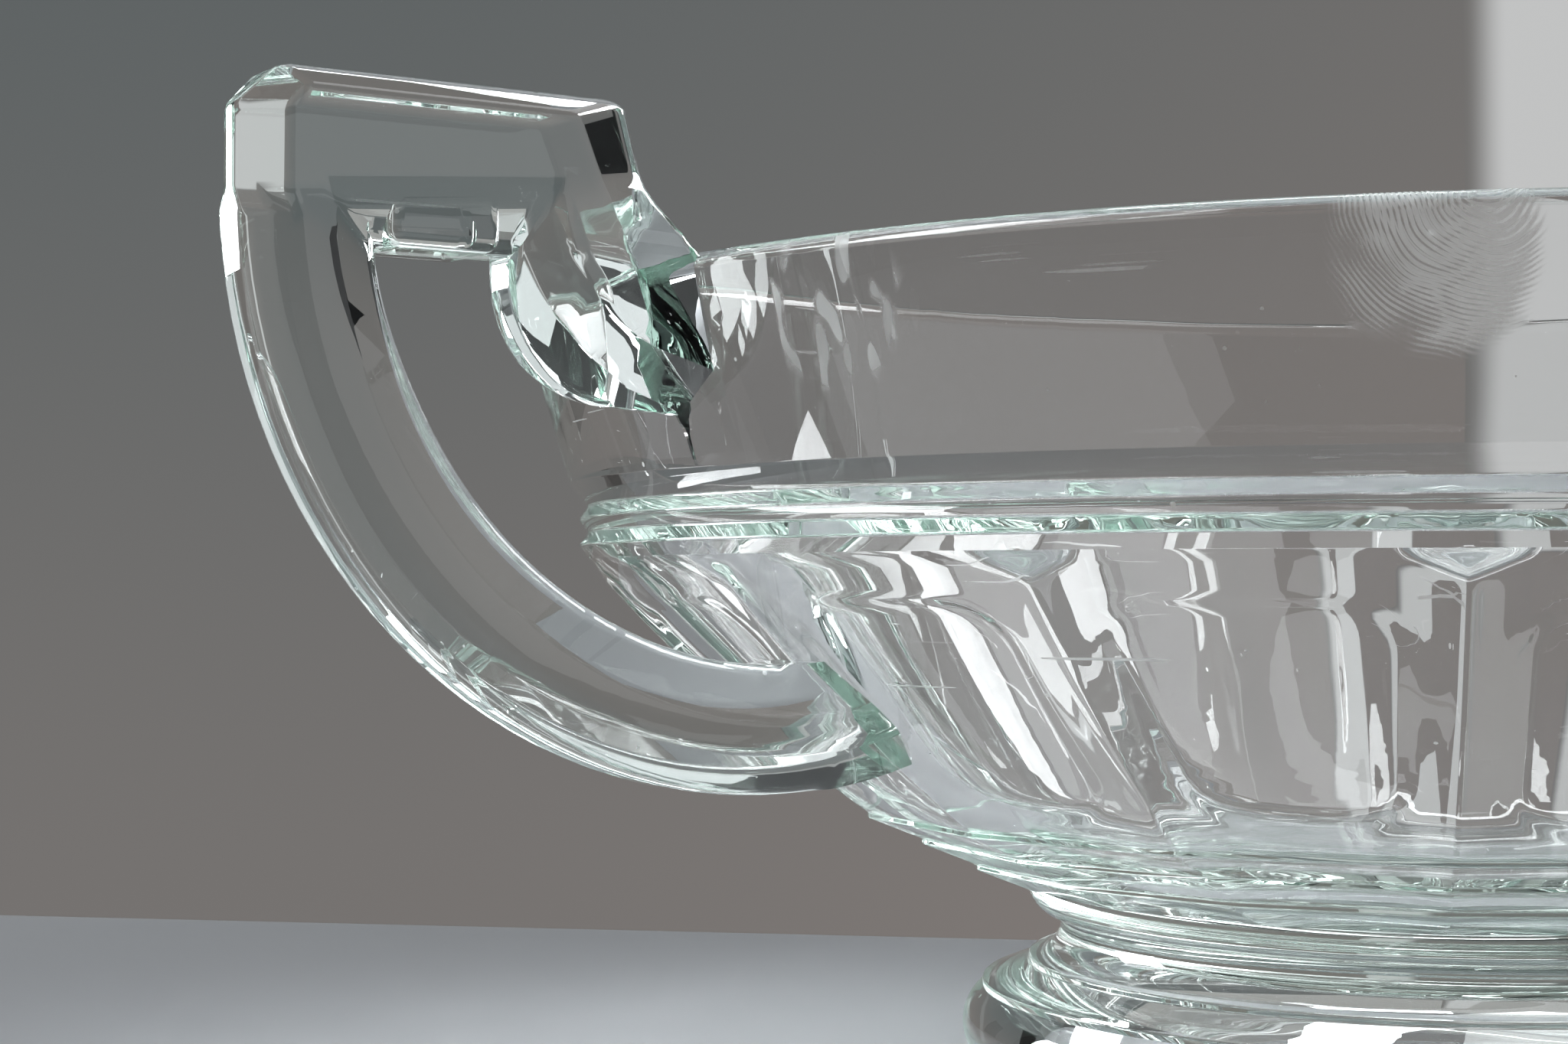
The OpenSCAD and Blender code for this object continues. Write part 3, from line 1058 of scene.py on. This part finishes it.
def toned_finish(name, tone):
    """Dark matt finish that glows with a given tone, the painted light or shade of a card, for what only
    the camera and the glass see.
    """
    material = matt_finish(name, UNLIT)
    tree = material.node_tree
    shader = tree.nodes["Principled BSDF"]
    shader.inputs["Emission Color"].default_value = (*tone, 1)
    tree.links.new(seen_directly(tree), shader.inputs["Emission Strength"])
    return material


def graded_finish(name, first, last, across, down=None):
    """Toned finish with painted shade, running from a shaded tone to a lighter one across the card, and
    down it where asked.
    """
    material = toned_finish(name, first)
    tree = material.node_tree
    place = make(tree, "ShaderNodeTexCoord").outputs["Object"]
    apart = make(tree, "ShaderNodeSeparateXYZ", {0: place}).outputs
    if down:
        runs = {
            0: share_of(tree, apart["X"], *across, WALL_SHARE),
            1: share_of(tree, apart["Y"], *down, WALL_SHARE),
        }
        run = make(tree, "ShaderNodeMath", runs, use_clamp=True).outputs[0]
    else:
        run = share_of(tree, apart["X"], *across)
    inputs = {"Factor": run, "A": (*first, 1), "B": (*last, 1)}
    tone = make(tree, "ShaderNodeMix", inputs, data_type="RGBA").outputs["Result"]
    tree.links.new(tone, tree.nodes["Principled BSDF"].inputs["Emission Color"])
    return material


def make_table():
    """Pale table top with its far edge behind the bowl."""
    put_down()
    bpy.ops.mesh.primitive_cube_add(size=1)
    table = bpy.context.object
    table.name = "table"
    edge_way = AHEAD * math.cos(TABLE_TURN) + TO_RIGHT * math.sin(TABLE_TURN)
    middle = TABLE_EDGE - edge_way * TABLE_SIZE.y / 2
    middle.z = -TABLE_SIZE.z / 2 - TABLE_GAP
    turned = Matrix.Rotation(CAMERA_TURN - TABLE_TURN, 4, "Z")
    table.matrix_world = Matrix.Translation(middle) @ turned @ Matrix.Diagonal((*TABLE_SIZE, 1))
    table.data.materials.append(matt_finish("pale_table", TABLE_PALE))


def upright_card(name, place, width, height, material):
    """Upright card of the stage, with its middle so far ahead of the camera, to its right and above it."""
    ahead, right, up = place
    middle = CAMERA_AT + AHEAD * ahead + TO_RIGHT * right + Vector((0, 0, up))
    put_down()
    bpy.ops.mesh.primitive_plane_add(size=1)
    card = bpy.context.object
    card.name = name
    card.matrix_world = Matrix.Translation(middle) @ Matrix((
        (TO_RIGHT.x * width, 0, -TO_RIGHT.y, 0),
        (TO_RIGHT.y * width, 0, TO_RIGHT.x, 0),
        (0, height, 0, 0),
        (0, 0, 0, 1),
    ))
    card.data.materials.append(material)


def light_box(name, turn, lift, width, height, level):
    """Soft light box, seen from the bowl so many degrees to the right of the view and above the table."""
    turn, lift = math.radians(turn), math.radians(lift)
    level_way = AHEAD * math.cos(turn) + TO_RIGHT * math.sin(turn)
    way = level_way * math.cos(lift) + Vector((0, 0, math.sin(lift)))
    put_down()
    bpy.ops.object.light_add(type="AREA", location=LIT_MIDDLE + way * LIGHT_REACH)
    light = bpy.context.object
    light.name = name
    light.data.shape = "RECTANGLE"
    light.data.size, light.data.size_y = width, height
    light.data.energy = level * math.pi * width * height
    light.data.color = DAYLIGHT
    light.rotation_euler = (-way).to_track_quat("-Z", "Y").to_euler()
    return light


def make_room():
    """The room's dim tone all round, which only the camera and the glass see."""
    world = bpy.data.worlds.new("room")
    bpy.context.scene.world = world
    world.use_nodes = True
    surround = world.node_tree.nodes["Background"]
    surround.inputs["Color"].default_value = (*ROOM_GREY, 1)
    world.node_tree.links.new(seen_directly(world.node_tree), surround.inputs["Strength"])


make_camera()
make_table()
make_room()
# The backdrop is painted with shade, darker towards its left and top.
shaded_grey_wall = graded_finish("shaded_grey_wall", WALL_SHADED, WALL_LIT, (-0.216, 0.096), (0.16, -0.1))
# The white card is painted with shade along its left edge.
white_card = graded_finish("white_card", CARD_SHADE, CARD_PALE, (-0.5, -0.22))
upright_card("backdrop", (1.6, 0.5, 0), 3.9, 3, shaded_grey_wall)
# A black card, painted shade standing in for a dark part of the room that shows in the glass.
upright_card("shade_card", (1.5, -0.815, 0.1), 0.24, 0.34, toned_finish("shade_card", PAINTED_SHADE_BLACK))
# Glowing upper wall, painted light standing in for light high in the room.
upright_card("lit_upper_wall", (1.55, 0, 1.5), 4, 1.3, toned_finish("lit_upper_wall", UPPER_PAINTED_LIGHT))
upright_card("white_card", (1.5, 0.43, 0), 0.09, 3, white_card)

# The left window lights everything, the room light only what is matt, and the rest only shows in the glass.
light_box("left_window", -66, 12, 0.42, 0.4, 24)
room_light = light_box("room_light", -70, 70, 0.8, 0.6, 4.7)
room_light.visible_glossy = False
room_light.visible_transmission = False
for name, turn, lift, width, height, level in (
    ("right_window", 59, 38, 0.5, 0.5, 36),
    ("skylight", 50, 62, 0.5, 0.5, 2),
    ("high_window", 5, 60, 0.35, 0.1, 18),
    ("side_wall", 118, 20, 1.5, 1.1, 0.8),
):
    light_box(name, turn, lift, width, height, level).visible_diffuse = False

scene = bpy.context.scene
scene.view_settings.view_transform = "Standard"
scene.cycles.max_bounces = BOUNCES
scene.cycles.transmission_bounces = BOUNCES
scene.cycles.glossy_bounces = BOUNCES
scene.cycles.transparent_max_bounces = CLEAR_BOUNCES
